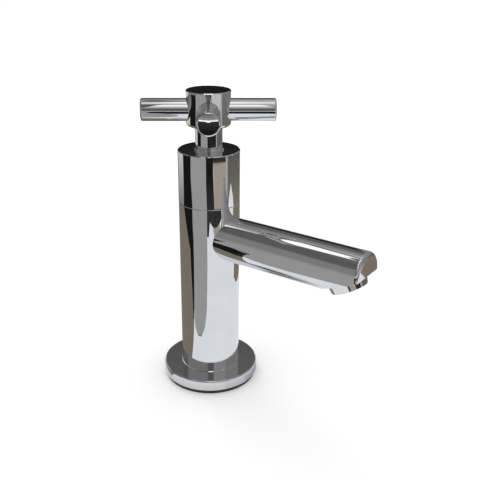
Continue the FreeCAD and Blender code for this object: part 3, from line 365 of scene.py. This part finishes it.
def make_floor():
    """Pale floor. It shows as white and keeps the shadow of the tap."""
    material = bpy.data.materials.new("studio_floor")
    material.use_nodes = True
    n = Nodes(material.node_tree)
    plain = n.add("ShaderNodeBsdfDiffuse", {"Color": opaque(FLOOR_GREY)})
    shadowed = n.add("ShaderNodeBsdfDiffuse", {"Color": opaque(WHITE)})
    lift = n.add("ShaderNodeEmission", {"Color": opaque(WHITE), "Strength": FLOOR_LIFT})
    lifted = n.add("ShaderNodeAddShader")
    n.put(lifted.inputs[0], shadowed.outputs[0])
    n.put(lifted.inputs[1], lift.outputs[0])
    end_material(n, mix_by(n, seen_or_mirrored(n), plain, lifted))
    corners = [(-1, -1), (1, -1), (1, 1), (-1, 1)]
    points = [(x * FLOOR_HALF, y * FLOOR_HALF, -FLOOR_DROP) for x, y in corners]
    mesh_object("studio_floor", points, [(0, 1, 2, 3)], material)


# Cards that the polished metal mirrors. They stand and lie round the tap as in a photographer's
# tent; the camera doesn't see them, and they cast no light or shadow.
#
# A card is a strip across rows. Each row is (bearing from, bearing to, radius, height, stock),
# and the tone blends from row to row.

STOCKS = {
    # brighter than white: cards of this stock glow as painted highlights, seen in the metal alone and
    # lighting nothing
    "white": (1.25, 1.25, 1.25),
    "pale": (0.84, 0.86, 0.89),
    "light": (0.62, 0.61, 0.60),
    "silver": (0.45, 0.44, 0.44),
    "grey": (0.36, 0.36, 0.36),
    "slate": (0.24, 0.24, 0.24),
    "dusk": (0.12, 0.12, 0.12),
    "beige": (0.40, 0.36, 0.30),
    "brown": (0.22, 0.19, 0.15),
    "soot": (0.035, 0.035, 0.035),
    "black": (0.01, 0.01, 0.01),
}
CARD_STEP = 3.0  # the most degrees between two points of a curved card

# radii
FOOT = 0.0255  # just inside the flange's edge
NEAR = 0.040  # end of the cards round the flange
SHELF = 0.205  # where the brown cards on the floor meet
INNER = 0.296  # cards that hang in front of the tent's wall
WALL = 0.30  # the tent's wall
FAR = 1.5  # the dark wall behind the tent

# heights
LOW = 0.0002  # cards on the floor
MID = 0.0004  # cards on those
TOP = 0.0006  # cards on top
LEFT_SEAM = 0.104  # where the cards on the left wall meet
LINE_FOOT = 0.112  # the white line on the wall in front
LINE_HEAD = 0.120
BEIGE_HEAD = 0.045  # where the cards on the right wall meet
BLACK_HEAD = 0.075
LIGHT_HEAD = 0.12
LOWER_ROOF = 0.692  # the lowest card under the roof
UNDER_ROOF = 0.696  # cards that hang under the roof
ROOF = 0.70

CARDS = {
    # -- floor
    # Painted shadow: these four cards lie on the floor, and only the metal mirrors them. The three near
    # cards darken the floor towards the flange's edge, slate on the right. The floor card paints the
    # floor round the tap a shade darker and bluer than the seen floor.
    "shadow_left": [(-180, 20, FOOT, LOW, "light"), (-180, 20, NEAR, LOW, "pale")],
    "shadow_middle": [(20, 55, FOOT, LOW, "silver"), (20, 55, NEAR, LOW, "pale")],
    "shadow_right": [(55, 180, FOOT, LOW, "slate"), (55, 180, NEAR, LOW, "pale")],
    "floor": [(-180, 180, NEAR, LOW, "pale"), (-180, 180, WALL, LOW, "pale")],
    "brown_left": [(-180, -68, 0.030, MID, "brown"), (-180, -61, 0.10, MID, "brown"),
                   (-180, -61, WALL, MID, "brown")],
    "black_left": [(-65, -61, 0.085, TOP, "soot"), (-70, -61, 0.13, TOP, "black"),
                   (-77, -61, 0.20, TOP, "black"), (-92, -62, 0.24, TOP, "black"),
                   (-108, -64, WALL, TOP, "black")],
    "grey_tip": [(-46, -32, 0.066, TOP, "dusk"), (-48, -30, 0.068, TOP, "grey"),
                 (-57, -20, 0.078, TOP, "grey"), (-61, -13, 0.100, TOP, "grey"),
                 (-61, -9, 0.170, TOP, "grey"), (-66, -9, WALL, TOP, "grey")],
    "black_front": [(-9, -3, 0.232, TOP, "soot"), (-9, 1, 0.268, TOP, "soot"),
                    (-9, 44, 0.276, TOP, "soot"), (-9, 44, WALL, TOP, "soot")],
    "beige_floor": [(17, 30, 0.232, MID, "beige"), (13, 37, 0.250, MID, "beige"),
                    (13, 37, 0.280, MID, "beige")],
    "brown_strip": [(114, 122, 0.130, MID, "brown"), (102, 152, 0.145, MID, "brown"),
                    (99, 170, SHELF, MID, "brown")],
    "brown_right": [(97, 180, SHELF, MID, "brown"), (97, 180, WALL, MID, "brown")],
    # -- wall on the left
    "brown_edge": [(-180, -150, WALL, LOW, "dusk"), (-180, -150, WALL, 0.09, "slate")],
    "light_strip": [(-150, -108, WALL, LOW, "slate"), (-150, -106, WALL, 0.05, "light"),
                    (-150, -104, WALL, 0.12, "light"), (-150, -104, WALL, 0.18, "dusk"),
                    (-150, -104, WALL, ROOF, "dusk")],
    "black_wall": [(-108, -64, WALL, LOW, "black"), (-108, -70, WALL, 0.03, "black"),
                   (-105, -66, WALL, LEFT_SEAM, "black")],
    "grey_wall": [(-64, -9, WALL, LOW, "grey"), (-70, -10, WALL, 0.03, "grey"),
                  (-66, -12, WALL, LEFT_SEAM, "grey")],
    "left_middle": [(-105, -12, WALL, LEFT_SEAM, "grey"), (-105, -12, WALL, 0.18, "slate"),
                    (-105, -12, WALL, 0.30, "slate"), (-105, -12, WALL, 0.36, "dusk"),
                    (-105, -12, WALL, ROOF, "dusk")],
    # -- wall in front
    "front_low": [(-9, 18, WALL, LOW, "soot"), (-12, 14, WALL, 0.036, "black"),
                  (-14, 14, WALL, LINE_FOOT, "soot")],
    "front_line": [(-14, 14, WALL, LINE_FOOT, "white"), (-14, 14, WALL, LINE_HEAD, "white")],
    "front_dark": [(-12, 12, WALL, LINE_HEAD, "grey"), (-12, 12, WALL, 0.155, "dusk"),
                   (-12, 12, WALL, 0.24, "dusk"), (-12, 12, WALL, 0.36, "light"),
                   (-12, 12, WALL, 0.50, "white"), (-12, 12, WALL, ROOF, "light")],
    # -- wall on the right
    "right_beige": [(18, 62, WALL, LOW, "beige"), (14, 62, WALL, BEIGE_HEAD, "beige")],
    "right_black": [(14, 62, WALL, BEIGE_HEAD, "soot"), (14, 62, WALL, BLACK_HEAD, "black")],
    "right_light": [(14, 62, WALL, BLACK_HEAD, "light"), (14, 62, WALL, LIGHT_HEAD, "light")],
    "right_high": [(12, 62, WALL, LIGHT_HEAD, "grey"), (12, 62, WALL, 0.34, "slate"),
                   (12, 62, WALL, ROOF, "light")],
    "brown_wall": [(62, 150, WALL, LOW, "brown"), (62, 150, WALL, 0.05, "dusk"),
                   (62, 150, WALL, 0.14, "slate"), (62, 150, WALL, ROOF, "grey")],
    "right_edge": [(150, 180, WALL, LOW, "slate"), (150, 180, WALL, 0.09, "silver")],
    "pale_peak": [(72, 100, INNER, LOW, "pale"), (76, 97, INNER, 0.010, "pale"),
                  (84, 86, INNER, 0.024, "pale")],
    "light_post": [(62, 70, INNER, LOW, "silver"), (62, 70, INNER, 0.14, "silver")],
    # -- behind and above
    "back": [(140, 212, FAR, LOW, "soot"), (140, 212, FAR, 0.50, "black"),
             (140, 212, FAR, 0.62, "soot"), (140, 212, FAR, 0.95, "dusk"),
             (140, 212, FAR, 1.30, "dusk"), (140, 212, FAR, 1.75, "slate"),
             (140, 212, FAR, 3.2, "silver")],
    "roof": [(-180, 180, 0.0, ROOF, "light"), (-180, 180, WALL, ROOF, "silver")],
    # roof_front and roof_left glow as painted highlights: roof_front over the arms' tops, roof_left
    # along the spout
    "roof_front": [(-55, 55, 0.0, UNDER_ROOF, "white"), (-55, 55, 0.17, UNDER_ROOF, "white")],
    "roof_dark": [(-166, -56, 0.06, UNDER_ROOF, "slate"), (-166, -56, WALL, UNDER_ROOF, "dusk")],
    "roof_left": [(-154, -106, 0.17, LOWER_ROOF, "white"), (-154, -106, 0.28, LOWER_ROOF, "white")],
}


def card_paint():
    """Paint that shows the tone of each of a card's points."""
    material = bpy.data.materials.new("card_paint")
    material.use_nodes = True
    n = Nodes(material.node_tree)
    tone = n.add("ShaderNodeAttribute", attribute_name="tone")
    end_material(n, n.add("ShaderNodeEmission", {"Color": tone.outputs["Color"], "Strength": 1.0}))
    return material


def only_mirrored(item):
    """The cards stand in the studio for the metal alone: they cast nothing and hide nothing."""
    item.visible_camera = False
    item.visible_diffuse = False
    item.visible_shadow = False
    item.visible_transmission = False
    item.visible_volume_scatter = False


def make_cards():
    paint = card_paint()
    for name, rows in CARDS.items():
        widest = max(row[1] - row[0] for row in rows)
        count = max(2, math.ceil(widest / CARD_STEP) + 1)
        points = []
        tones = []
        for first, last, radius, height, stock in rows:
            for i in range(count):
                points.append(bearing_point(first + (last - first) * i / (count - 1), radius, height))
                tones.append(opaque(STOCKS[stock]))
        faces = [(k + i, k + i + 1, k + count + i + 1, k + count + i)
                 for k in range(0, count * (len(rows) - 1), count) for i in range(count - 1)]
        card = mesh_object(f"card_{name}", points, faces, paint)
        attribute = card.data.color_attributes.new("tone", "FLOAT_COLOR", "POINT")
        for entry, tone in zip(attribute.data, tones):
            entry.color = tone
        only_mirrored(card)


KEY_BEARING = -150  # behind on the left
KEY_RADIUS = 0.55
KEY_HEIGHT = 0.75
KEY_WIDTH = 0.24
KEY_LENGTH = 0.50
KEY_WATTS = 0.8
KEY_AIM = (0.02, 0, 0.08)  # beside the column, under the spout


def make_key():
    """The soft lamp. The metal doesn't mirror it, only the cards."""
    data = bpy.data.lights.new("key_softbox", "AREA")
    data.shape = "RECTANGLE"
    data.size = KEY_WIDTH
    data.size_y = KEY_LENGTH
    data.energy = KEY_WATTS
    lamp = bpy.data.objects.new("key_softbox", data)
    bpy.context.scene.collection.objects.link(lamp)
    lamp.location = bearing_point(KEY_BEARING, KEY_RADIUS, KEY_HEIGHT)
    lamp.rotation_mode = "QUATERNION"
    lamp.rotation_quaternion = (Vector(KEY_AIM) - lamp.location).to_track_quat("-Z", "Y")
    lamp.visible_glossy = False


make_world()
make_floor()
make_cards()
make_key()

bpy.context.scene.view_settings.view_transform = "Standard"
